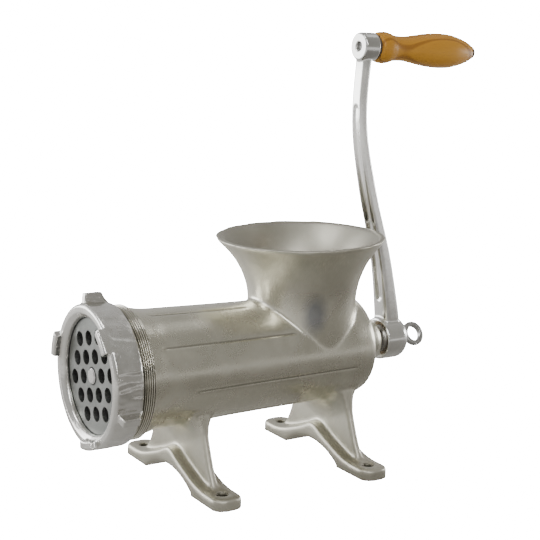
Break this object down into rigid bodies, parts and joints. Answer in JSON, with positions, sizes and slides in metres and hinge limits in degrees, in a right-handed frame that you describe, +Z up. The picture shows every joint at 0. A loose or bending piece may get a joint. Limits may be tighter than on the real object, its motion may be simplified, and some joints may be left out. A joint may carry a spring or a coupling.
{
  "type": "hand crank meat grinder",
  "caption": "Bench mounted hand crank meat grinder with a flared hopper, screw feed, perforated outlet plate under a lugged ring nut, and a bowed crank with a wooden grip.",
  "frame": {"origin": "centre of the four foot bolt holes, on the bench plane under the feet", "axes": "+Z up, barrel along Y with the outlet towards -Y and the crank at +Y"},
  "size_m": [0.137, 0.3188, 0.3062],
  "materials": {
    "tinned_body": "satin hot tin plate over a cast skin",
    "tinned_ring": "satin hot tin plate, rough between the lugs",
    "tinned_auger": "satin hot tin plate",
    "tinned_crank": "satin hot tin plate, brighter on the rubbed edges",
    "tinned_screw": "satin hot tin plate",
    "plate_steel": "ground face",
    "knife_steel": "ground face",
    "steel": "turned",
    "bolt_steel": "dark turned steel",
    "bronze": "turned",
    "fibre": "pressed fibre",
    "grip_wood": "clear varnish"
  },
  "bodies": {
    "frame": {"body": "tinned_body", "plate_key_pin": "steel", "bearing_bush": "bronze", "thrust_washer": "fibre"},
    "feed": {"auger": "tinned_auger", "knife_stud": "steel", "knife": "knife_steel"},
    "crank": {"crank_arm": "tinned_crank", "handle_bolt": "bolt_steel", "grip_washer": "bolt_steel"},
    "screw": {"thumb_screw": "tinned_screw"},
    "grip": {"wood_grip": "grip_wood"},
    "plate": {"hole_plate": "plate_steel"},
    "ring": {"ring_nut": "tinned_ring"}
  },
  "joints": [
    {"name": "crank_turn", "type": "hinge", "parent": "frame", "child": "feed", "pos_m": [0, 0.085, 0.0811], "axis": [0, -1, 0], "continuous": true},
    {"name": "crank_slide", "type": "slide", "parent": "feed", "child": "crank", "axis": [0, 1, 0], "range_m": [0, 0.0075]},
    {"name": "thumb_screw_turn", "type": "hinge", "parent": "crank", "child": "screw", "pos_m": [0, 0.126, 0.0811], "axis": [0, 1, 0], "range_deg": [0, 1800]},
    {"name": "grip_spin", "type": "hinge", "parent": "crank", "child": "grip", "pos_m": [0, 0.0845, 0.2952], "axis": [0, 0.9997, -0.0262], "continuous": true},
    {"name": "plate_slide", "type": "slide", "parent": "frame", "child": "plate", "axis": [0, -1, 0], "range_m": [0, 0.01125]},
    {"name": "ring_nut_turn", "type": "hinge", "parent": "plate", "child": "ring", "pos_m": [0, -0.1206, 0.0811], "axis": [0, -1, 0], "range_deg": [0, 2700]}
  ],
  "couplings": [
    {"joint": "thumb_screw_turn", "follows": "crank_slide", "rad_per_m": 4188.8},
    {"joint": "plate_slide", "follows": "ring_nut_turn", "m_per_rad": 0.00023873}
  ]
}
